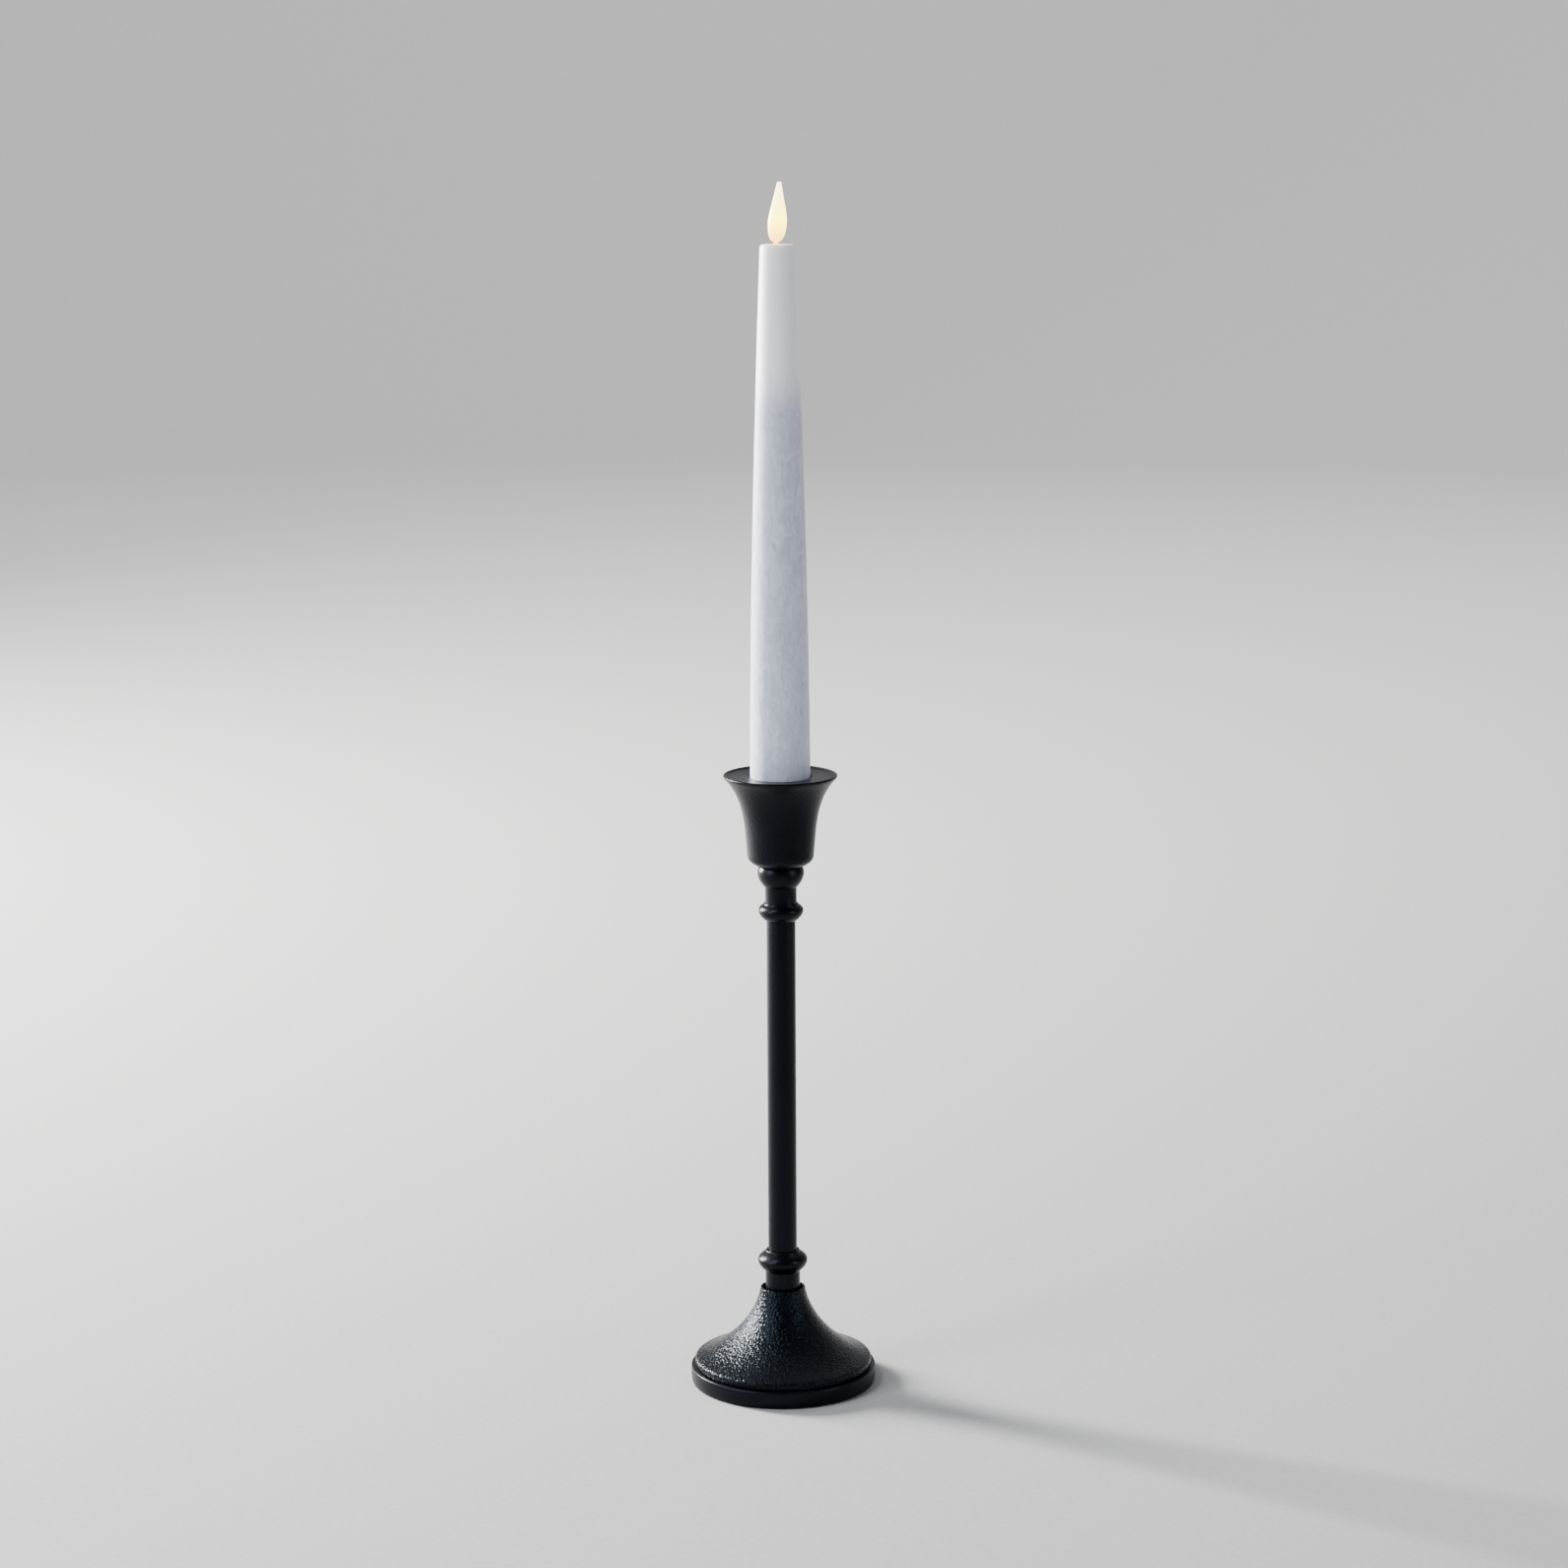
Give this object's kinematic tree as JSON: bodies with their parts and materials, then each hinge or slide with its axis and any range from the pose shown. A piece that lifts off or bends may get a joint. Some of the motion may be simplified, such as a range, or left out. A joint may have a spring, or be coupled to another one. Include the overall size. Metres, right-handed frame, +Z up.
{
  "type": "flameless led candle",
  "caption": "White LED taper candle with a flame-shaped lens, standing in a turned black metal candlestick with a flared cup, slim stem and bell foot.",
  "frame": {"origin": "middle of the underside of the foot, on the surface the candlestick stands on", "axes": "+Z up along the shared axis of the candlestick and candle; -Y towards the viewer's side, +X to the viewer's right, the side the flame leans to"},
  "size_m": [0.069, 0.069, 0.4445],
  "materials": {
    "felt": "matte felt",
    "black_metal": "satin black lacquer over cast and turned metal",
    "zinc_steel": "zinc plated",
    "ivory_plastic": "moulded, fine texture",
    "tinned_steel": "tinned",
    "black_plastic": "moulded",
    "cell_sleeve": "plain printed sleeve with bare metal ends",
    "wax": "smooth white paraffin wax, slightly translucent",
    "board_green": "solder mask over glass fibre",
    "capacitor_sleeve": "shrunk sleeve",
    "gilt_brass": "gold plated",
    "red_insulation": "soft insulation",
    "black_insulation": "soft insulation",
    "lamp_phosphor": "warm white phosphor and clear resin",
    "frosted_flame": "frosted light-guide plastic, lit from inside"
  },
  "bodies": {
    "candlestick": {"felt_pad": "felt", "foot_plate": "black_metal", "base_bell": "black_metal", "lower_collar": "black_metal", "stem_tube": "black_metal", "upper_collar": "black_metal", "cup_knop": "black_metal", "candle_cup": "black_metal", "tie_rod": "zinc_steel", "tie_nut": "zinc_steel", "tie_washer": "zinc_steel"},
    "tray": {"battery_tray": "ivory_plastic", "switch_plate": "ivory_plastic", "plate_screws": "zinc_steel", "switch_body": "tinned_steel", "negative_plate": "tinned_steel", "negative_spring": "tinned_steel", "lower_cell": "cell_sleeve", "upper_cell": "cell_sleeve", "positive_contact": "tinned_steel", "return_strip": "tinned_steel"},
    "switch": {"switch_knob": "black_plastic"},
    "taper": {"wax_shell": "wax", "core_tube": "ivory_plastic", "board_carrier": "ivory_plastic", "driver_board": "board_green", "chip_blob": "black_plastic", "quartz_crystal": "tinned_steel", "board_capacitor": "capacitor_sleeve", "chip_resistors": "black_plastic", "positive_pin": "gilt_brass", "negative_pin": "gilt_brass", "positive_wire": "red_insulation", "negative_wire": "black_insulation", "flame_socket": "black_plastic", "led_lamp": "lamp_phosphor", "flame_lens": "frosted_flame"}
  },
  "joints": [
    {"name": "candle_lift", "type": "slide", "parent": "candlestick", "child": "tray", "axis": [0, 0, 1], "range_m": [0, 0.05]},
    {"name": "taper_pull", "type": "slide", "parent": "tray", "child": "taper", "axis": [0, 0, 1], "range_m": [0, 0.12]},
    {"name": "switch_slide", "type": "slide", "parent": "tray", "child": "switch", "axis": [1, 0, 0], "range_m": [0, 0.004]}
  ]
}
